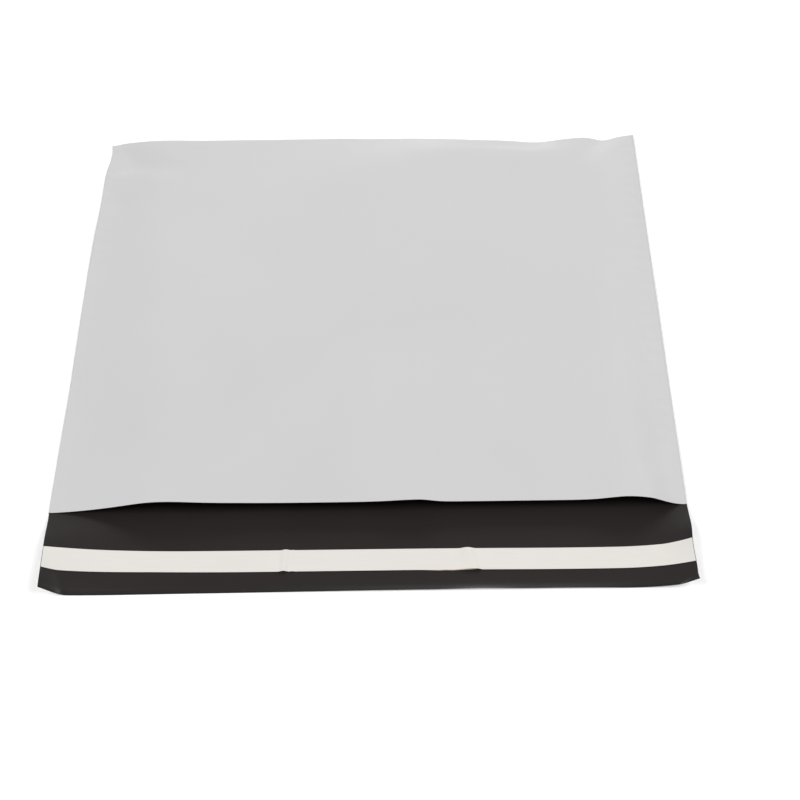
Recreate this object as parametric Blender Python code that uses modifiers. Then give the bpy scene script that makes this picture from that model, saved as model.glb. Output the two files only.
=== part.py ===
"""Poly mailer bag, open and lying flat: one folded and side-welded film, its glue line and its release liner.

Metres, +Z up. X runs across the mouth and Y from the flap to the folded end. The origin is on the
surface that the bag lies on, under the middle of its outline.
"""

import math

import bmesh
import bpy

# Flat sizes of the bag
WIDTH = 0.350  # across, weld to weld
BODY = 0.300  # from the mouth to the bottom fold
FLAP = 0.053  # how far the back panel reaches past the mouth
FILM = 0.0001

# Closure on the inner face of the flap
FLAP_ROWS = 8  # rows of faces, whose lines the liner's long edges follow
LINER_FIRST_ROW, LINER_LAST_ROW = 4, 6  # from the mouth
LINER_THICKNESS = 0.0001
ADHESIVE_INSET = 0.0016  # from each long edge of the liner to the glue
ADHESIVE_THICKNESS = 0.00015
GAP = 0.0003  # between neighbours in the stack

# How the film lies
WELD_HEIGHT = 0.0008  # the side welds and the bottom fold, above the surface
WELD_WIDTH = 0.0018
WELD_EDGE = 0.0002  # thickness left at the weld's outer edge
EDGE_LIFT = 0.018  # border over which the back panel leaves the surface
LEFT_SHOULDER, RIGHT_SHOULDER = 0.058, 0.034  # slopes from each weld to the top of the front panel
FOLD_SLOPE = 0.060  # slope from the bottom fold to the top of the front panel
PUFF = 0.0088  # height of the front panel over the back panel, next to the shoulders
SAG = 0.0018  # how much less that is midway between them
LEFT_CURL, RIGHT_CURL = 0.0050, 0.0075  # lift of the flap's two free corners
LEFT_CURL_REACH, RIGHT_CURL_REACH = 0.045, 0.035

# Faces
COLUMNS = 26
BODY_ROWS = 16

HALF = WIDTH / 2
FLAP_END_Y = -(BODY + FLAP) / 2
MOUTH_Y = FLAP_END_Y + FLAP
FOLD_Y = MOUTH_Y + BODY
SEAM_X = HALF - WELD_WIDTH  # where the inner faces of the two panels meet
LINER_TOP_Y = MOUTH_Y - FLAP * LINER_FIRST_ROW / FLAP_ROWS
LINER_LOW_Y = MOUTH_Y - FLAP * LINER_LAST_ROW / FLAP_ROWS


def rise(distance, length):
    """From 0 at an edge to 1 at length, steepest at the edge and level at the top: a quarter of a sine."""
    return math.sin(math.pi / 2 * min(max(distance / length, 0.0), 1.0))


def lift(distance, length):
    """From 0 to 1 over length, growing with the square, like a strip that leaves a table."""
    return min(max(distance / length, 0.0), 1.0) ** 2


def back_height(x, y):
    """Inner face of the back panel: flat, lifted along the welds and the fold, and curled at the flap's ends."""
    side = lift(abs(x) - (SEAM_X - EDGE_LIFT), EDGE_LIFT)
    fold = lift(y - (FOLD_Y - EDGE_LIFT), EDGE_LIFT)
    curl, reach = (RIGHT_CURL, RIGHT_CURL_REACH) if x > 0 else (LEFT_CURL, LEFT_CURL_REACH)
    corner = curl * rise(MOUTH_Y - y, FLAP) * lift(abs(x) - (SEAM_X - reach), reach)
    return FILM + (WELD_HEIGHT - FILM) * max(side, fold) + corner


def front_height(x, y):
    """Inner face of the front panel: it meets the back at both welds and at the fold, and is puffed between."""
    slopes = rise(SEAM_X + x, LEFT_SHOULDER) * rise(SEAM_X - x, RIGHT_SHOULDER) * rise(FOLD_Y - y, FOLD_SLOPE)
    return back_height(x, y) + (PUFF - SAG * math.cos(math.pi / 2 * x / SEAM_X)) * slopes


def add_sheet(bm, start_y, end_y, rows, height, faces_up=True):
    """A grid across the bag from start_y to end_y, moved onto a height function.

    Its columns crowd towards the welds, where the film bends, as the sine of their even spacing.
    """
    made = bmesh.ops.create_grid(bm, x_segments=COLUMNS, y_segments=rows, size=1.0)["verts"]
    for vert in made:
        vert.co.x = SEAM_X * math.sin(math.pi / 2 * vert.co.x)
        vert.co.y = start_y + (end_y - start_y) * (vert.co.y + 1) / 2
        vert.co.z = height(vert.co.x, vert.co.y)
    if not faces_up:
        bmesh.ops.reverse_faces(bm, faces=list({face for vert in made for face in vert.link_faces}))


def plain_material(name, color, roughness):
    material = bpy.data.materials.new(name)
    material.use_nodes = True
    shader = material.node_tree.nodes["Principled BSDF"]
    shader.inputs["Base Color"].default_value = (*color, 1.0)
    shader.inputs["Roughness"].default_value = roughness
    shader.inputs["Metallic"].default_value = 0.0
    return material


def sheet_object(name, bm, thickness, material, collection):
    """The sheets in bm joined along their shared edges, with their thickness on the side the faces look to."""
    bmesh.ops.remove_doubles(bm, verts=bm.verts, dist=1e-6)
    mesh = bpy.data.meshes.new(name)
    bm.to_mesh(mesh)
    bm.free()
    mesh.materials.append(material)
    mesh.shade_smooth()
    piece = bpy.data.objects.new(name, mesh)
    collection.objects.link(piece)
    wall = piece.modifiers.new("thickness", "SOLIDIFY")
    wall.thickness = thickness
    wall.offset = 1.0
    return piece


def pull_out_weld(bm):
    """Draw the outer skin's seam out to the bag's full width, which fuses the two panels there, and blunt it.

    The flap's cut sides go out to the same width, on both faces of the film.
    """
    for vert in bm.verts:
        outer_skin = abs(vert.co.x) > SEAM_X + FILM / 20
        flap_side = abs(vert.co.x) > SEAM_X - FILM / 20 and vert.co.y < MOUTH_Y - FILM
        if outer_skin or flap_side:
            vert.co.x = math.copysign(HALF, vert.co.x)
    seam = [edge for edge in bm.edges
            if all(abs(vert.co.x) > HALF - FILM and vert.co.y > MOUTH_Y - FILM for vert in edge.verts)]
    bmesh.ops.bevel(bm, geom=seam, offset=WELD_EDGE / 2, offset_type="OFFSET", segments=1, affect="EDGES")


def film_bag(parts):
    """One film: the front panel, the bottom fold and the back panel that runs on as the flap, welded at the sides."""
    bm = bmesh.new()
    add_sheet(bm, MOUTH_Y, FOLD_Y, BODY_ROWS, front_height)
    add_sheet(bm, MOUTH_Y, FOLD_Y, BODY_ROWS, back_height, faces_up=False)
    add_sheet(bm, FLAP_END_Y, MOUTH_Y, FLAP_ROWS, back_height, faces_up=False)
    bag = sheet_object("film_bag", bm, FILM, plain_material("grey_film", (0.62, 0.62, 0.62), 0.4), parts)
    shell = bpy.data.meshes.new_from_object(bag.evaluated_get(bpy.context.evaluated_depsgraph_get()))
    bag.modifiers.clear()
    bag.data = shell
    bm = bmesh.new()
    bm.from_mesh(shell)
    pull_out_weld(bm)
    bm.to_mesh(shell)
    bm.free()
    return bag


def adhesive_strip(parts):
    """The line of hot-melt glue across the flap, a little narrower than its liner."""
    bm = bmesh.new()
    add_sheet(bm, LINER_LOW_Y + ADHESIVE_INSET, LINER_TOP_Y - ADHESIVE_INSET, 2, lambda x, y: back_height(x, y) + GAP)
    return sheet_object("adhesive_strip", bm, ADHESIVE_THICKNESS, plain_material("glue", (0.75, 0.66, 0.45), 0.25), parts)


def release_liner(parts):
    """The peel-off strip that covers the glue from one end of the flap to the other."""
    under = ADHESIVE_THICKNESS + 2 * GAP
    bm = bmesh.new()
    add_sheet(bm, LINER_LOW_Y, LINER_TOP_Y, LINER_LAST_ROW - LINER_FIRST_ROW, lambda x, y: back_height(x, y) + under)
    return sheet_object("release_liner", bm, LINER_THICKNESS, plain_material("liner", (0.80, 0.77, 0.72), 0.5), parts)


def main():
    for old in list(bpy.data.objects):
        bpy.data.objects.remove(old)
    parts = bpy.data.collections.new("poly_mailer_bag")
    bpy.context.scene.collection.children.link(parts)
    film_bag(parts)
    adhesive_strip(parts)
    release_liner(parts)


main()
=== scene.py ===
# %% [markdown]
# # A poly mailer, lying open
# A poly mailer is a bag made of one plastic film: light grey outside, near-black inside so that
# nothing shows through. The film is folded once at the bottom, welded along both sides, and its back
# panel runs on past the mouth as a flap. A line of glue crosses the flap under a cream release liner.
# Film is thin and springy, so it never lies quite flat: this lesson is about small heights.

import math

import bpy
import numpy as np
from mathutils import Euler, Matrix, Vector


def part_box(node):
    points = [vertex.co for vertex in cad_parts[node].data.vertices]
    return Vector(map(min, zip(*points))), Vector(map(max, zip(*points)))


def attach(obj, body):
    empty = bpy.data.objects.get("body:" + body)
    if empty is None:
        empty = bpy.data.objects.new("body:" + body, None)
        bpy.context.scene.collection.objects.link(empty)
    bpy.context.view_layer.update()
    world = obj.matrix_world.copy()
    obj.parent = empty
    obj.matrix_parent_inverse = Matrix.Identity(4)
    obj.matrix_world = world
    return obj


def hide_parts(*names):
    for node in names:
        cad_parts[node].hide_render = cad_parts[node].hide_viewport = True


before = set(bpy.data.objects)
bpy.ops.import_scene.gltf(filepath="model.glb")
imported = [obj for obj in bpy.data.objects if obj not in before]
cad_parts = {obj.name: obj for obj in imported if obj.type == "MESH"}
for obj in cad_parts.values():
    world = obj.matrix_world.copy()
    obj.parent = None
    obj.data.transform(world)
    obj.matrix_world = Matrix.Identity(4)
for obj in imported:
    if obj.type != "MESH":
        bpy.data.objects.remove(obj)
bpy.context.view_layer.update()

# %% [markdown]
# ## Sizes
# The solid model already fixes the outline of the bag and of its liner, so both are read from the
# frame. What the frame can't say is written here once: how far the flap reaches past the mouth, and
# how thick each layer is. The rest of the script works in two flat coordinates: x across the bag, and
# s, the distance in from the mouth, which is negative on the flap.

# %% Driving sizes
MM = 0.001
FLAP = 53 * MM
FILM = 0.08 * MM
WELD = 1.6 * MM  # width of the strip where both panels are fused

low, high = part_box("film_bag")
HALF = high.x
MOUTH_Y = low.y + FLAP
BODY = high.y - MOUTH_Y
liner_low, liner_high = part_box("release_liner")
glue_low, glue_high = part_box("adhesive_strip")
print(f"bag {2 * HALF / MM:.0f} mm wide, body {BODY / MM:.0f} mm, flap {FLAP / MM:.0f} mm")

# %% [markdown]
# ## Five curves that everything is drawn with
# Soft shapes come from a few smooth curves, added and multiplied. A bell is one lump, a step goes
# once from 0 to 1, a slope rises straight and rounds off at its top, a hinge is flat and then turns
# up round a soft bend, and a ripple is a sum of three waves whose lengths share no factor, so that it
# never seems to repeat.


# %% Curves
def bell(value, centre, width):
    """One lump of height 1: e to the power of minus the squared distance, counted in widths."""
    return np.exp(-(((value - centre) / width) ** 2))


def step(value, start, end):
    """From 0 at start to 1 at end, level at both: three times the share squared, minus twice its cube."""
    share = np.clip((value - start) / (end - start), 0, 1)
    return share * share * (3 - 2 * share)


def slope(value, length, softness=0.18):
    """A straight rise from 0 that rounds off to 1 at length: the smooth minimum of the share and 1."""
    share = np.maximum(value, 0) / length
    rounded = 0.5 * (share + 1 - np.sqrt((share - 1) ** 2 + softness**2))
    start = 0.5 * (1 - math.sqrt(1 + softness**2))
    return (rounded - start) / (1 - start)


def hinge(value, softness):
    """About 0 below 0 and about the value above, with the bend between them rounded to a hyperbola.

    Half the sum of the value and the root of its square plus the softness squared.
    """
    return 0.5 * (value + np.sqrt(value**2 + softness**2))


def ripple(value, length, phase):
    """Sines of 1, 0.62 and 1.71 lengths, weighted 0.5, 0.3 and 0.2: an uneven wave between -1 and 1."""
    turn = 2 * math.pi * value / length
    return (0.5 * np.sin(turn + phase) + 0.3 * np.sin(turn / 0.62 + 2.3 * phase)
            + 0.2 * np.sin(turn / 1.71 + 0.7 * phase))


print("slope at a quarter, half and full length:", np.round(slope(np.array([0.25, 0.5, 1.0]), 1.0), 3))

# %% [markdown]
# ## The back panel and the flap
# The back panel lies on the table. It lifts only along the welds, which are a little stiffer than the
# film, and on the flap, which nothing holds down. The flap's left end arches off the table, its right
# end curls up, both free corners are turned up along a short slanted crease, and the middle of the
# free edge stands up a little. One height function holds all of that, so the liner and the glue can be
# laid on the same surface later.


# %% Height of the back panel
WELD_REACH = 18 * MM  # how far in from a weld the back panel is still off the table
ARCH = 7.2 * MM  # height of the flap's left end, half-way out
CURL = 2.4 * MM  # height of its right end, 28 mm past the line where the curl starts
LEFT_TURN_UP, RIGHT_TURN_UP = 0.84, 0.40  # slopes of the two turned-up corners


def weld_lift(x, s):
    """How far the welds stand off the table: some 0.8 mm, uneven, fading inwards and past the mouth."""
    beside = np.clip(1 - (HALF - np.abs(x)) / WELD_REACH, 0, 1) ** 2
    side = np.sign(x)
    along_weld = 0.75 + 0.3 * ripple(s, 0.17, 1.3 + side) + (0.35 * side - 0.1) * bell(s, 0, 45 * MM)
    puckers = 0.12 * ripple(s, 11 * MM, 0.4 + side) * bell(HALF - np.abs(x), 2 * MM, 5 * MM)
    return MM * beside * (along_weld * step(s, -12 * MM, 6 * MM) + puckers * step(s, -6 * MM, 3 * MM))


def back_height(x, s):
    """Underside of the back panel over the table, in metres, at x across and s in from the mouth.

    The sum of the lift along the welds, an arch on the flap's left with a low swell beside it, a curl
    on its right that is strongest near half the flap's length, the two turned-up corners, each a hinge
    about a slanted line, and the raised free edge.
    """
    out = np.clip(-s / FLAP, 0, 1)
    arch = ARCH * np.clip((-x - 95 * MM) / (78 * MM), 0, 1) ** 2 * np.sin(math.pi * out**1.15)
    left = arch + 1.1 * MM * bell(x, -116 * MM, 30 * MM) * bell(out, 0.7, 0.2)
    left_corner = hinge(-x - 161.6 * MM - 15 * MM * (1 - out), 2.4 * MM) * step(out, 0.5, 1.05)
    curl = CURL * np.clip((x - 134 * MM) / (28 * MM), 0, 2) ** 2 * slope(out, 0.45)
    edge_curl = 2.9 * MM * np.clip((x - 158 * MM) / (15 * MM), 0, 2) ** 1.5 * bell(out, 0.45, 0.28)
    right_corner = hinge(x - 165.5 * MM - 94 * MM * (1 - out), 1.2 * MM)
    corners = LEFT_TURN_UP * left_corner + RIGHT_TURN_UP * right_corner
    free_edge = (1.25 * step(x, -0.11, 0.03) * step(0.15 - x, 0, 0.06)
                 + 0.6 * bell(x, 60 * MM, 18 * MM) + 0.6 * bell(x, 0.13, 0.03)) * MM * out**9
    return weld_lift(x, s) + left + curl + edge_curl + corners + free_edge


print("flap corners at", [round(float(back_height(x, -FLAP)) / MM, 1) for x in (-0.171, 0.174)], "mm")

# %% [markdown]
# ## How far the front panel stands off the back
# The mouth gapes a little: the lip climbs from each weld to a rounded shoulder and sags between
# them. The left slope is long and straight, and the right one is short and starts flat, which leaves a
# soft ridge line along the whole right weld. Towards the bottom fold the panel comes down again, slowly
# on the left and late on the right. Small dents near the two far corners are where the fold meets the
# welds and the film has nowhere to go.


# %% Gap between the panels
PLATEAU = 6.3 * MM  # height of the front panel over the back one, in the middle of the bag
LEAST_GAP = 0.012 * MM
NEAR_MOUTH = 110 * MM  # length over which the shoulders fade into the bag


def side_slopes(x, s):
    """From 0 at both welds to 1 in the middle: part straight, part S-shaped, long left, short right."""
    from_left = x + HALF - WELD
    from_right = HALF - WELD - x
    left_length = 56 * MM - 12 * MM * step(s, 0, 0.2) - 14 * MM * step(s, BODY - 60 * MM, BODY)
    right_length = 19 * MM + 8 * MM * step(s, 0, 35 * MM)
    left = 0.5 * slope(from_left, left_length) + 0.5 * step(from_left, 0, left_length)
    right = 0.4 * slope(from_right, right_length) + 0.6 * step(from_right, 0, right_length)
    return left * right


def dents(x, s):
    """What the far corners take off the gap: valleys, each a bell across its line that fades along it."""
    from_left, from_right, from_fold = x + HALF, HALF - x, BODY - s
    corner_valley = bell(from_fold, 15 * MM + 0.24 * from_left, 9 * MM) * bell(from_left, 8 * MM, 30 * MM)
    short_valley = bell(from_fold, 55 * MM + 0.2 * from_left, 7 * MM) * bell(from_left, 4 * MM, 14 * MM)
    fold_notch = bell(from_right, 21 * MM + 0.5 * from_fold, 7 * MM) * bell(from_fold, 0, 16 * MM)
    fold_hollow = bell(x, 88 * MM, 30 * MM) * bell(from_fold, 0, 8 * MM)
    return (2.6 * corner_valley + 0.9 * short_valley + 1.5 * fold_notch + 1.2 * fold_hollow) * MM


def lip_crest(x):
    """The soft crease that leaves the lip: a bell whose left flank is over twice as wide as its right."""
    return bell(x, 29 * MM, np.where(x < 29 * MM, 18 * MM, 8 * MM))


def gap(x, s):
    """Clear height between the panels: the plateau times both side slopes and the descent to the fold.

    The lip's crease and slow waves ride on the plateau, and the far corners' dents come off it. A hinge
    keeps the rest from going below 0. Along the welds small waves stand in a hump 3.5 mm in from them.
    """
    near_mouth = np.exp(-np.maximum(s, 0) / NEAR_MOUTH)
    shoulders = (2.6 * bell(x, -113 * MM, 24 * MM) + 2.9 * bell(x, 143 * MM, 15 * MM)
                 + 0.45 * bell(x, -75 * MM, 20 * MM))
    plateau = PLATEAU + (0.6 * step(-x, -0.06, 0) + shoulders * near_mouth) * MM
    crease = 1.9 * MM * lip_crest(x) * np.exp(-np.maximum(s, 0) / 0.03)
    descent = 8 * MM + 55 * MM * step(-x, -0.09, 0.11) ** 1.5
    at_fold = (0.55 + 0.15 * step(-x, 0.09, 0.14) + 0.4 * bell(x, 0.14, 0.026)
               - 0.09 * bell(x, 0.07, 0.03))
    to_fold = (1 - 0.3 * step(s, 0.03, 0.27)) * (at_fold + (1 - at_fold) * slope(BODY - s, descent, 0.4))
    waves = ripple(x + 0.4 * s, 0.093, 0.8) * ripple(s - 0.3 * x, 0.127, 2.1)
    slack = 0.16 * MM * waves * step(s, 0, 40 * MM)
    from_weld = np.maximum(HALF - WELD - np.abs(x), 0)
    beside = from_weld / (3.5 * MM)
    weld_waves = ripple(s, 9.5 * MM, 1.1 + np.sign(x)) * step(s, 0, 20 * MM)
    puckers = 0.13 * MM * weld_waves * beside * np.exp(1 - beside)
    inside = step(from_weld, 0, 12 * MM)
    height = (plateau + crease + slack) * to_fold * side_slopes(x, s) - dents(x, s) * inside
    return np.maximum(hinge(height, 0.4 * MM * inside) + puckers, LEAST_GAP)


lip_x = np.linspace(-0.17, 0.17, 9)
print("lip heights, mm:", np.round((gap(lip_x, 0 * lip_x) + back_height(lip_x, 0 * lip_x)) / MM, 1))

# %% [markdown]
# ## Where the rows and columns go
# Film bends sharply in a few places only: at the welds, at the lip and round the bottom fold. An even
# grid would waste its faces on flat film, so the spacing grows with the distance from both ends.


# %% Graded spacing
def graded(length, finest, growth, coarsest):
    """Points from 0 to length, finest apart at both ends and coarsest in the middle.

    They are equal steps of the integral of one over the wanted spacing.
    """
    place = np.linspace(0, length, 6001)
    spacing = np.minimum(finest + growth * np.minimum(place, length - place), coarsest)
    steps = np.concatenate([[0], np.cumsum(np.diff(place) * 2 / (spacing[1:] + spacing[:-1]))])
    return np.interp(np.linspace(0, steps[-1], math.ceil(steps[-1]) + 1), steps, place)


ACROSS = graded(2 * HALF, 0.12 * MM, 0.14, 3.3 * MM) - HALF
ALONG = graded(BODY, 0.5 * MM, 0.12, 2.4 * MM)
OUT = graded(FLAP, 0.5 * MM, 0.12, 1.9 * MM)[1:]
AROUND = np.linspace(0, math.pi, 15)[1:-1]
print("columns:", len(ACROSS))
print("rows: a panel", len(ALONG), "fold", len(AROUND), "flap", len(OUT))

# %% [markdown]
# ## The welds
# A hot blade cuts and welds a mailer in one stroke. It leaves the two films fused flat for a
# millimetre and a half, ending in a thin melted bead. Inside that strip there is no pocket, so the
# outer skin goes out to the full width while the inner skin, the wall of the pocket, stops short of it.


# %% Thickness over the weld
BEAD_WIDTH, BEAD_HEIGHT = 0.7 * MM, 0.30 * MM
ON_FLAP = 0.35  # share of the bead that is left on the flap, where only one film was cut
BLUNT = 0.12  # share of the thickness that is left at the very edge


def bead(x, s):
    """Extra thickness of the melted edge: a half ellipse across it, uneven, and slighter on the flap."""
    radius = BEAD_WIDTH / 2
    across = np.sqrt(np.clip(1 - ((HALF - np.abs(x)) / radius - 1) ** 2, 0, 1))
    uneven = 1 + 0.3 * ripple(s, 13 * MM, 0.9 + np.sign(x))
    return BEAD_HEIGHT * across * uneven * (ON_FLAP + (1 - ON_FLAP) * step(s, -1 * MM, 1 * MM))


def closing(x):
    """From 1 down to the blunt share over the last 0.2 mm before the edge, as a square root."""
    return BLUNT + (1 - BLUNT) * np.sqrt(np.clip((HALF - np.abs(x)) / (0.2 * MM), 0, 1))


def outer_thickness(x, s):
    """From outer face to outer face: the gap and two films, closing at the edge, plus the bead."""
    return (2 * FILM + gap(x, s)) * closing(x) + bead(x, s)


edge_x = HALF - np.array([0.0, 0.1, 0.35, 0.8, 1.6]) * MM
edge_thickness = outer_thickness(edge_x, 0.15 + 0 * edge_x)
print("thickness from the edge inwards, mm:", np.round(edge_thickness / MM, 2))

# %% [markdown]
# ## One sheet, laid out as two skins
# The film is one sheet, so each of its skins is one grid: the rows start at the lip, run along the
# front panel, go round the fold, come back along the back panel and run out over the flap. The fold
# is a half circle whose radius is half of the thickness that is left there. Both skins share that
# plan, which keeps the film equally thick all the way.


# %% The skins
NARROWING = 8 * MM  # width over which the inner skin's columns move in to the weld


def pulled_in(x, s):
    """How far bending draws a point of the flat sheet in, across and along, from where it would lie flat.

    Across: the curled flap ends and the crumpled far-left corner, fading inwards as a square. Along:
    the uneven fold, a sum of bells, and the slightly bowed cut of the free edge.
    """
    out = np.clip(-s / FLAP, 0, 1)
    left_share = np.clip((-x - 0.12) / (HALF - 0.12), 0, 1) ** 2
    right_share = np.clip((x - 0.14) / (HALF - 0.14), 0, 1) ** 2
    left = (2.8 * out**0.6 + 3.2 * bell(s, BODY - 8 * MM, 17 * MM) + 1.3 * bell(s, 0.248, 0.03)
            + 0.4 * bell(s, 0.09, 0.035) + 0.25 * step(s, 0, 0.04)) * MM
    right = (0.95 * bell(out, 0.55, 0.2) + 0.3 * step(out, 0.8, 1)) * MM
    fold = (2.0 * bell(x, -HALF, 7 * MM) + 0.6 * step(x, -30 * MM, 20 * MM) + 1.1 * bell(x, 0.076, 0.03)
            + 4.9 * bell(x, 0.112, 0.02) + 1.7 * bell(x, 0.137, 0.012) + 3.6 * bell(x, 0.154, 0.01)
            - 1.2 * bell(x, HALF, 0.015) + 0.2 * ripple(x, 61 * MM, 0.5)) * MM * bell(s, BODY, 30 * MM)
    bowed_cut = 0.35 * MM * bell(x, -0.14, 0.035) * out
    return left_share * left - right_share * right, -fold - bowed_cut


def on_back(x, s, lift):
    """The points of a surface that lies lift above the underside of the back panel or the flap."""
    across, along = pulled_in(x, s)
    return np.stack([x + across, MOUTH_Y + s + along, back_height(x + across, s) + lift], -1)


def skin(inner):
    """The inner or the outer skin, as an array of rows, columns and the three coordinates.

    Panels: s is shrunk so that the fold's half circle ends at the body's full length. Fold: a half
    circle about the middle of the remaining thickness. Flap: the back panel's surface carried outwards.
    The inner skin's columns are narrowed to end at the weld, and widen again just past the mouth.
    """
    depth = FILM if inner else 0.0
    thickness = gap if inner else outer_thickness
    at_weld = np.clip(1 - (HALF - np.abs(ACROSS)) / NARROWING, 0, 1)
    narrowed = ACROSS - np.sign(ACROSS) * at_weld * (WELD if inner else 0)
    x = np.broadcast_to(narrowed, (len(ALONG), len(ACROSS)))
    s = np.broadcast_to(ALONG[:, None], x.shape)

    def lift(x, s):
        """Height over the film's underside: one film inside; outside, the closing edge less the bead."""
        return FILM if inner else FILM * (1 - closing(x)) - bead(x, s) / 2

    radius = thickness(x[:1], BODY + 0 * x[:1]) / 2
    shrunk = s * (BODY - depth - radius) / BODY
    back = on_back(x, s, lift(x, s))
    back[..., 1] += shrunk - s
    front = back.copy()
    front[..., 2] += thickness(x, s)
    angle = AROUND[:, None]
    turn = np.stack([0 * angle + 0 * radius, radius * np.sin(angle), radius * (1 + np.cos(angle))], -1)
    fold = back[-1] + turn
    x_out = narrowed + (ACROSS - narrowed) * step(OUT[:, None], 0, 1.5 * MM)
    s_out = -OUT[:, None] + 0 * x_out
    flap = on_back(x_out, s_out, lift(x_out, s_out) + (bead(x_out, s_out) / 2 if inner else 0))
    return np.concatenate([front, fold, back[::-1], flap])


outer_skin, inner_skin = skin(inner=False), skin(inner=True)
print("skin grid:", outer_skin.shape, "lowest point", round(outer_skin[..., 2].min() / MM, 3), "mm")

# %% [markdown]
# ## Closing the film
# Two grids become one solid when their borders are joined by strips of faces. Where the film is cut,
# at the lip, at the free edge and at the flap's sides, a strip joins the outer skin to the inner one.
# Where it is welded, a strip joins the front panel's side to the back panel's, once outside and once
# inside, and ends in a triangle at the fold. Two small faces close the ends of the welds at the mouth.


# %% Faces
def grid_faces(index):
    """One face for each cell of a grid of point numbers, turning left from rows to columns."""
    return np.stack([index[:-1, :-1], index[:-1, 1:], index[1:, 1:], index[1:, :-1]], -1).reshape(-1, 4)


def turned(faces):
    """The same faces seen from behind, still split along the diagonal from their first corner."""
    return faces[:, [0, 3, 2, 1]]


def strip(a, b):
    """Faces between two lines of point numbers of equal length."""
    return np.stack([a[:-1], a[1:], b[1:], b[:-1]], -1)


def open_edges(faces):
    """How many directed edges lack a partner that runs the other way: 0 on a closed surface."""
    edges = np.concatenate([np.stack([group, np.roll(group, -1, axis=1)], -1).reshape(-1, 2)
                            for group in faces])
    size = edges.max() + 1
    return int(np.setxor1d(edges[:, 0] * size + edges[:, 1], edges[:, 1] * size + edges[:, 0]).size)


def signed_volume(points, faces):
    """The sum over triangles of a dot (b cross c) over six: positive when the faces look out."""
    total = 0.0
    for group in faces:
        for k in range(1, group.shape[1] - 1):
            a, b, c = points[group[:, 0]], points[group[:, k]], points[group[:, k + 1]]
            total += np.einsum("ij,ij->", a, np.cross(b, c)) / 6
    return total


def mesh_piece(name, points, faces, material_of, flat_uv, attributes=None, sharp=50):
    """An object from arrays: points, groups of faces, each group's material number, flat coordinates."""
    mesh = bpy.data.meshes.new(name)
    mesh.from_pydata(points.tolist(), [], [face for group in faces for face in group.tolist()])
    numbers = np.concatenate([np.full(len(group), number) for group, number in zip(faces, material_of)])
    mesh.polygons.foreach_set("material_index", numbers.astype(np.int32))
    corner = np.empty(len(mesh.loops), np.int32)
    mesh.loops.foreach_get("vertex_index", corner)
    mesh.uv_layers.new(name="flat").data.foreach_set("uv", flat_uv[corner].astype(np.float32).ravel())
    for label, values in (attributes or {}).items():
        mesh.attributes.new(label, "FLOAT", "POINT").data.foreach_set("value", values.astype(np.float32))
    mesh.shade_smooth()
    mesh.set_sharp_from_angle(angle=math.radians(sharp))
    mesh.update()
    piece = bpy.data.objects.new(name, mesh)
    bpy.context.scene.collection.objects.link(piece)
    print(f"{name}: {len(points)} points, open edges {open_edges(faces)}, "
          f"volume {signed_volume(points, faces) * 1e6:.2f} cm3")
    return piece


# %% The film bag
rows, columns = outer_skin.shape[:2]
outer = np.arange(rows * columns).reshape(rows, columns)
inner = outer + rows * columns
fold_row = len(ALONG) + len(AROUND) // 2
mouth_row = 2 * fold_row
front_side, back_side = slice(0, fold_row), slice(mouth_row, fold_row, -1)

walls = [grid_faces(outer)]
linings = [turned(grid_faces(inner))]
cut_edges = [strip(inner[0], outer[0]), strip(outer[-1], inner[-1]),
             strip(outer[mouth_row:, 0], inner[mouth_row:, 0]),
             strip(inner[mouth_row:, -1], outer[mouth_row:, -1])]
welds = [strip(outer[front_side, 0], outer[back_side, 0]),
         strip(outer[back_side, -1], outer[front_side, -1])]
pocket_corners = [strip(inner[back_side, 0], inner[front_side, 0]),
                  strip(inner[front_side, -1], inner[back_side, -1])]
before, after = fold_row - 1, fold_row + 1
weld_tips = np.array([[outer[before, 0], outer[fold_row, 0], outer[after, 0]],
                      [outer[after, -1], outer[fold_row, -1], outer[before, -1]]])
pocket_tips = np.array([[inner[after, 0], inner[fold_row, 0], inner[before, 0]],
                        [inner[before, -1], inner[fold_row, -1], inner[after, -1]]])
weld_ends = np.array([[outer[0, 0], outer[mouth_row, 0], inner[mouth_row, 0], inner[0, 0]],
                      [outer[0, -1], inner[0, -1], inner[mouth_row, -1], outer[mouth_row, -1]]])

along_sheet = np.concatenate([ALONG, np.full(len(AROUND), BODY), 2 * BODY - ALONG[::-1], 2 * BODY + OUT])
sheet_length = 2 * BODY + FLAP
flat = np.stack([(ACROSS[None, :] + HALF) / (2 * HALF) + 0 * along_sheet[:, None],
                 along_sheet[:, None] / sheet_length + 0 * ACROSS[None, :]], -1).reshape(-1, 2)
# Outer mask, the weld strips: glossier there, and the paler melted colour on them is painted fill light.
fused_and_painted_light = np.tile(1 - step(HALF - np.abs(ACROSS), 0.9 * MM, 2.2 * MM), rows)
# Inner mask, the hot-cut free edge: glossier there, and its lighter melted colour is a painted highlight.
hot_cut_and_painted_highlight = np.repeat(step(along_sheet, sheet_length - 4.5 * MM, sheet_length), columns)
outside = [*walls, *welds, weld_tips]
inside = [*linings, *cut_edges, *pocket_corners, pocket_tips, weld_ends]
film_bag = mesh_piece(
    "film_mailer",
    np.concatenate([outer_skin.reshape(-1, 3), inner_skin.reshape(-1, 3)]),
    [*outside, *inside],
    [0] * len(outside) + [1] * len(inside),
    np.concatenate([flat, flat]),
    {"fused_and_painted_light": np.concatenate([fused_and_painted_light, hot_cut_and_painted_highlight])},
)

# %% [markdown]
# ## The glue and its liner
# Both are ribbons that follow the flap, so they reuse its height function and add their own layers.
# The liner has come loose at two places and stands up in small folds across the strip: a narrow,
# straight one on the left and a wider one on the right that slants and drops off steeply on one side.
# Beside the right one the glue was squeezed out, and shows past the liner as a thin amber line.


# %% Ribbons on the flap
GLUE = 0.12 * MM
GLUE_SIDE = 1.5 * MM  # from each end of the glue line to the edge of the film
AIR = 0.01 * MM  # between layers that touch
LINER = 0.07 * MM
LINER_SIDE = 0.3 * MM  # extra width of the liner towards the free edge, and what it lacks at both ends


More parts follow.
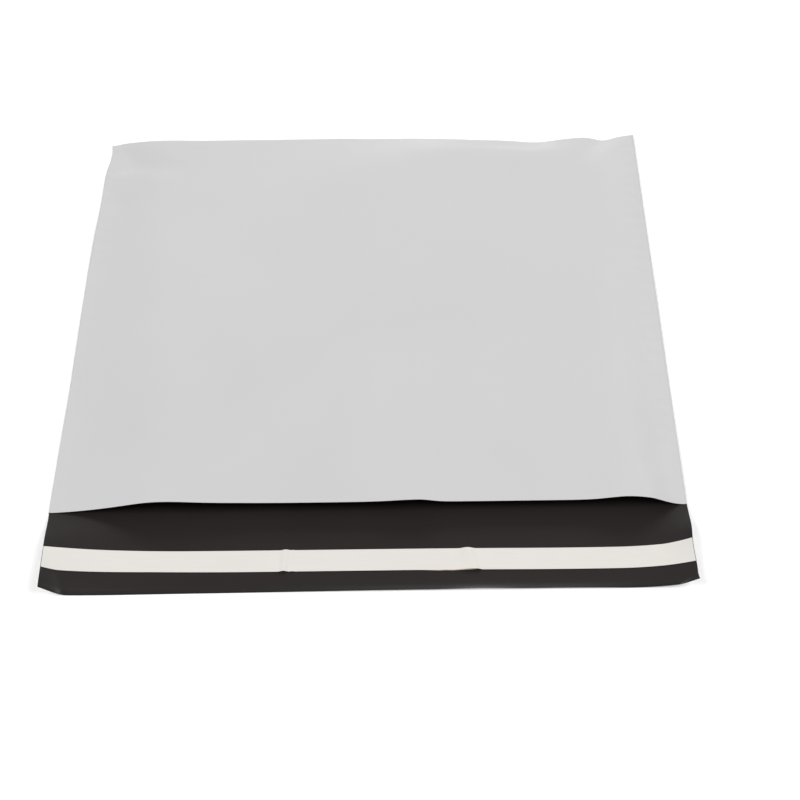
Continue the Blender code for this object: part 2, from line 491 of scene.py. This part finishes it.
def liner_folds(x, share):
    """Extra height of the two folds; share runs from 0 on the mouth's side to 1 by the free edge.

    Left: a roof to the power 0.8 about its line, with a low bell beside it. Right: an S-shaped hump about
    a slanted line, whose left flank widens along it from 5 to 14 mm while the right one narrows.
    """
    straight = 0.95 * MM * np.clip(1 - np.abs(x + 43.6 * MM + 0.8 * MM * share) / (2.5 * MM), 0, 1) ** 0.8
    beside = 0.30 * MM * bell(x, -39.8 * MM, 0.9 * MM)
    crest = x - 54 * MM - 5 * MM * share
    flank = np.where(crest < 0, 5 * MM + 9 * MM * share, 5 * MM - 2.2 * MM * share)
    slanted = (1.15 - 0.2 * share) * MM * step(1 - np.abs(crest) / flank, 0, 1)
    return straight + beside + slanted


def squeezed(x):
    """How far the glue comes out past its line: a long bell beside the slanted fold, slightly uneven."""
    return 2.25 * MM * bell(x, 42 * MM, 30 * MM) * (1 + 0.04 * ripple(x, 9 * MM, 0.6))


def ribbon(name, half_width, low_y, high_y, lift, thickness, folds=None, spill=None,
           columns=440, rows=11):
    """A closed strip along the flap: two grids, thickness apart, joined at their borders by four strips.

    It isn't quite straight: a bell moves it by half a millimetre towards the free edge.
    """
    x = np.linspace(-half_width, half_width, columns)[None, :]
    share = np.linspace(0, 1, rows)[:, None]
    wander = 0.5 * MM * bell(x, 0.11, 0.045)
    s = high_y + (low_y - high_y) * share - MOUTH_Y - wander - (spill(x) * share**2 if spill else 0)
    x = x + 0 * s
    low_face = on_back(x, s, FILM + lift + (folds(x, share) if folds else 0))
    high_face = low_face + np.array([0, 0, thickness])
    top = np.arange(rows * columns).reshape(rows, columns)
    bottom = top + rows * columns
    faces = [turned(grid_faces(top)), grid_faces(bottom),
             strip(top[0], bottom[0]), strip(bottom[-1], top[-1]),
             strip(bottom[:, 0], top[:, 0]), strip(top[:, -1], bottom[:, -1])]
    spread = np.stack([(x + HALF) / (2 * HALF), share + 0 * x], -1).reshape(-1, 2)
    points = np.concatenate([high_face.reshape(-1, 3), low_face.reshape(-1, 3)])
    return mesh_piece(name, points, faces, [0] * len(faces), np.concatenate([spread, spread]))


glue_line = ribbon("glue_line", HALF - GLUE_SIDE, glue_low.y, glue_high.y, AIR, GLUE, spill=squeezed)
liner = ribbon("liner_strip", HALF - LINER_SIDE, liner_low.y - LINER_SIDE, liner_high.y,
               2 * AIR + GLUE, LINER, liner_folds)

# %% [markdown]
# ## Shared surface effects
# Plastic film is never evenly dull. Its sheen drifts in soft clouds, it carries faint lines from the
# die it was drawn through, and its skin is a little rough like orange peel. Each effect is a node
# group with named inputs, so every material can use it with its own strength.


# %% Node groups
def node_group(name, inputs, outputs):
    """An empty shader group with float or vector sockets; returns it with its input and output nodes."""
    group = bpy.data.node_groups.new(name, "ShaderNodeTree")
    for label, kind, value in inputs:
        socket = group.interface.new_socket(label, in_out="INPUT", socket_type=kind)
        if value is not None:
            socket.default_value = value
    for label, kind in outputs:
        group.interface.new_socket(label, in_out="OUTPUT", socket_type=kind)
    return group, group.nodes.new("NodeGroupInput"), group.nodes.new("NodeGroupOutput")


def add(tree, kind, inputs=None, **settings):
    """A node with its settings and the values or links of its inputs, named or numbered."""
    node = tree.nodes.new(kind)
    for label, value in settings.items():
        setattr(node, label, value)
    for label, value in (inputs or {}).items():
        if isinstance(value, bpy.types.NodeSocket):
            tree.links.new(value, node.inputs[label])
        else:
            node.inputs[label].default_value = value
    return node


def cloud_group():
    """Soft clouds: noise of the coordinates given, remapped from low to high."""
    group, given, result = node_group(
        "soft_clouds",
        [("Vector", "NodeSocketVector", None), ("Scale", "NodeSocketFloat", 12.0),
         ("Low", "NodeSocketFloat", 0.0), ("High", "NodeSocketFloat", 1.0)],
        [("Value", "NodeSocketFloat")])
    noise = add(group, "ShaderNodeTexNoise", {
        "Vector": given.outputs["Vector"], "Scale": given.outputs["Scale"],
        "Detail": 3.0, "Roughness": 0.55})
    spread = add(group, "ShaderNodeMapRange", {
        "Value": noise.outputs["Fac"], "From Min": 0.3, "From Max": 0.7,
        "To Min": given.outputs["Low"], "To Max": given.outputs["High"]})
    group.links.new(spread.outputs["Result"], result.inputs["Value"])
    return group


def film_relief_group():
    """The film's skin as a height: die lines, noise drawn out along the web, plus fine orange peel."""
    group, given, result = node_group(
        "film_relief",
        [("Vector", "NodeSocketVector", None), ("Lines", "NodeSocketFloat", 0.5),
         ("Peel", "NodeSocketFloat", 0.5)],
        [("Height", "NodeSocketFloat")])
    place = given.outputs["Vector"]
    drawn = add(group, "ShaderNodeMapping", {"Vector": place, "Scale": (3.0, 420.0, 420.0)})
    lines = add(group, "ShaderNodeTexNoise",
                {"Vector": drawn.outputs["Vector"], "Scale": 1.0, "Detail": 2.0})
    peel = add(group, "ShaderNodeTexNoise", {"Vector": place, "Scale": 700.0, "Detail": 2.0})
    line_height = add(group, "ShaderNodeMath",
                      {0: lines.outputs["Fac"], 1: given.outputs["Lines"]}, operation="MULTIPLY")
    both = add(group, "ShaderNodeMath",
               {0: peel.outputs["Fac"], 1: given.outputs["Peel"], 2: line_height.outputs[0]},
               operation="MULTIPLY_ADD")
    group.links.new(both.outputs[0], result.inputs["Height"])
    return group


clouds, film_relief = cloud_group(), film_relief_group()
print("groups:", clouds.name, film_relief.name)


# %% [markdown]
# ## Materials
# Both faces of the film are the same plastic with different pigment, so they share one recipe: a base
# colour that drifts a little, a satin roughness that drifts with the clouds, and the film relief as a
# slight bump. Where heat has melted the film its matt skin is gone, so it is shinier. Its colour there
# is painted light: a shade paler on the welds outside, as painted fill against the shade of the bead,
# and lighter on the hot-cut free edge inside, as a painted highlight along that edge.
# A mask stored on the mesh marks these places: the welds outside, and the hot-cut free edge inside.


# %% Material recipes
MELT_ROUGHNESS = 0.24


def material(name, roughness, ior=1.5):
    """A new material with its Principled shader, whose even values sit on the shader's own sockets."""
    made = bpy.data.materials.new(name)
    made.use_nodes = True
    shader = made.node_tree.nodes["Principled BSDF"]
    shader.inputs["Roughness"].default_value = roughness
    shader.inputs["IOR"].default_value = ior
    return made, made.node_tree, shader


def drifting(tree, vector, scale, low, high):
    """The output of a cloud group between two values."""
    node = add(tree, "ShaderNodeGroup", node_tree=clouds)
    tree.links.new(vector, node.inputs["Vector"])
    for label, value in (("Scale", scale), ("Low", low), ("High", high)):
        node.inputs[label].default_value = value
    return node.outputs["Value"]


def tinted(tree, factor, first, second):
    """A colour between two others."""
    mix = add(tree, "ShaderNodeMix", {"Factor": factor}, data_type="RGBA")
    mix.inputs["A"].default_value = (*first, 1)
    mix.inputs["B"].default_value = (*second, 1)
    return mix.outputs["Result"]


def film_material(name, first, second, melted_and_painted_light, roughness, ior):
    """Satin film between two colours. Where it has melted it has a gloss of its own, and a third colour
    that is painted light.
    """
    made, tree, shader = material(name, roughness, ior)
    place = add(tree, "ShaderNodeTexCoord").outputs["Object"]
    color = tinted(tree, drifting(tree, place, 9.0, 0.0, 1.0), first, second)
    melt = add(tree, "ShaderNodeAttribute", attribute_name="fused_and_painted_light").outputs["Fac"]
    fused_and_painted_light = add(tree, "ShaderNodeMix", {"Factor": melt, "A": color}, data_type="RGBA")
    fused_and_painted_light.inputs["B"].default_value = (*melted_and_painted_light, 1)
    tree.links.new(fused_and_painted_light.outputs["Result"], shader.inputs["Base Color"])
    satin = drifting(tree, place, 22.0, roughness - 0.04, roughness + 0.04)
    gloss = add(tree, "ShaderNodeMix", {"Factor": melt, "A": satin, "B": MELT_ROUGHNESS})
    tree.links.new(gloss.outputs["Result"], shader.inputs["Roughness"])
    relief = add(tree, "ShaderNodeGroup", node_tree=film_relief)
    tree.links.new(place, relief.inputs["Vector"])
    bump = add(tree, "ShaderNodeBump",
               {"Height": relief.outputs["Height"], "Strength": 0.25, "Distance": 0.05 * MM})
    tree.links.new(bump.outputs["Normal"], shader.inputs["Normal"])
    return made


# The melted grey, a shade paler than the film, is painted fill light that lifts the shade by the weld
# beads.
outer_film = film_material("outer_film_grey", (0.582, 0.582, 0.582), (0.598, 0.598, 0.598),
                           melted_and_painted_light=(0.60, 0.60, 0.60), roughness=0.42, ior=1.51)
# The melted dark, lighter than the lining, is a painted highlight along the flap's free edge.
inner_film = film_material("inner_film_dark", (0.0050, 0.0012, 0.0010), (0.0064, 0.0022, 0.0018),
                           melted_and_painted_light=(0.016, 0.014, 0.013), roughness=0.62, ior=1.455)
print(outer_film.name, inner_film.name)


# %% Liner, glue and table
TABLE_GLOW = 0.16


def liner_material():
    """Cream release film: fibres as noise drawn out along the strip tint it and rough its sheen."""
    made, tree, shader = material("liner_cream", 0.42)
    place = add(tree, "ShaderNodeTexCoord").outputs["Object"]
    drawn = add(tree, "ShaderNodeMapping", {"Vector": place, "Scale": (60.0, 900.0, 900.0)})
    fibre = add(tree, "ShaderNodeTexNoise",
                {"Vector": drawn.outputs["Vector"], "Scale": 1.0, "Detail": 4.0})
    color = tinted(tree, fibre.outputs["Fac"], (0.718, 0.697, 0.657), (0.756, 0.734, 0.694))
    tree.links.new(color, shader.inputs["Base Color"])
    tree.links.new(drifting(tree, place, 40.0, 0.38, 0.48), shader.inputs["Roughness"])
    bump = add(tree, "ShaderNodeBump",
               {"Height": fibre.outputs["Fac"], "Strength": 0.2, "Distance": 0.03 * MM})
    tree.links.new(bump.outputs["Normal"], shader.inputs["Normal"])
    return made


def glue_material():
    """Amber hot melt: clouded colour under a glossy skin with slow waves."""
    made, tree, shader = material("glue_amber", 0.2)
    place = add(tree, "ShaderNodeTexCoord").outputs["Object"]
    color = tinted(tree, drifting(tree, place, 160.0, 0.0, 1.0), (0.62, 0.50, 0.30), (0.74, 0.64, 0.44))
    tree.links.new(color, shader.inputs["Base Color"])
    tree.links.new(drifting(tree, place, 260.0, 0.14, 0.26), shader.inputs["Roughness"])
    return made


def table_material():
    """White acrylic, barely mottled, with a faint glow that takes the weight out of shadows."""
    made, tree, shader = material("table_white", 0.6)
    shader.inputs["Emission Color"].default_value = (1, 1, 1, 1)
    shader.inputs["Emission Strength"].default_value = TABLE_GLOW
    place = add(tree, "ShaderNodeTexCoord").outputs["Object"]
    color = tinted(tree, drifting(tree, place, 2.0, 0.0, 1.0), (0.90, 0.90, 0.90), (0.915, 0.915, 0.915))
    tree.links.new(color, shader.inputs["Base Color"])
    return made


film_bag.data.materials.append(outer_film)
film_bag.data.materials.append(inner_film)
liner.data.materials.append(liner_material())
glue_line.data.materials.append(glue_material())
print("film faces by material:", np.bincount([face.material_index for face in film_bag.data.polygons]))

# %% [markdown]
# ## Table, light and camera
# Satin film shows its shape by the way broad lights slide over it, so the lights are large and soft.
# Two nearly equal softboxes stand left and right, where the camera hardly sees them mirrored in the
# film, so the dark flap stays dark. A long strip low behind the bag catches whatever slopes away from
# us, a dim pale sky fills the rest, and the table glows faintly so that shadows stay light.
# The camera looks down at the mouth from about 51 degrees, turned and rolled by about a degree.


# %% Studio
SKY = 0.30  # strength of the pale sky
REACH = 4  # metres from the middle of the table to each side


def area_light(name, place, size, watts):
    """A rectangular light that stands at a place and aims at the middle of the table."""
    data = bpy.data.lights.new(name, "AREA")
    data.shape = "RECTANGLE"
    data.size, data.size_y = size
    data.energy = watts
    light = bpy.data.objects.new(name, data)
    light.location = place
    light.rotation_euler = (-Vector(place)).to_track_quat("-Z", "Y").to_euler()
    bpy.context.scene.collection.objects.link(light)


table_mesh = bpy.data.meshes.new("table")
table_mesh.from_pydata([(-REACH, -REACH, 0), (REACH, -REACH, 0), (REACH, REACH, 0), (-REACH, REACH, 0)],
                       [], [(0, 1, 2, 3)])
table_mesh.materials.append(table_material())
table = bpy.data.objects.new("table", table_mesh)
bpy.context.scene.collection.objects.link(table)

area_light("left_softbox", (-2.4, -0.6, 2.5), (2.0, 2.0), 69)
area_light("right_softbox", (2.4, -0.6, 2.5), (2.0, 2.0), 66)
area_light("back_strip", (0.5, 3.2, 1.3), (3.4, 0.9), 32)

world = bpy.data.worlds.new("pale_sky")
bpy.context.scene.world = world
world.use_nodes = True
world.node_tree.nodes["Background"].inputs["Color"].default_value = (1, 1, 1, 1)
world.node_tree.nodes["Background"].inputs["Strength"].default_value = SKY

camera_data = bpy.data.cameras.new("camera")
camera_data.lens = 71.5
camera_data.sensor_width = 36
camera_data.clip_start = 0.01
camera = bpy.data.objects.new("camera", camera_data)
camera.location = (0.025, MOUTH_Y - 0.5027, 0.7142)
down, turn, roll = math.radians(50.94), math.radians(0.65), math.radians(1.26)
camera.rotation_euler = (Euler((0, 0, turn)).to_matrix() @ Euler((math.pi / 2 - down, 0, 0)).to_matrix()
                         @ Euler((0, 0, -roll)).to_matrix()).to_euler()
bpy.context.scene.collection.objects.link(camera)
bpy.context.scene.camera = camera
bpy.context.scene.view_settings.view_transform = "Standard"
print("camera at", [round(value, 3) for value in camera.location], "lights:", len(bpy.data.lights))

# %% [markdown]
# ## Hang each piece on the body
# Each finished piece rides on the one body, and the solid that it stands for is hidden.

for piece, node, slot in ((film_bag, "film_bag", "grey_film"),
                          (glue_line, "adhesive_strip", "glue"),
                          (liner, "release_liner", "liner")):
    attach(piece, "root")
    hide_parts(node)
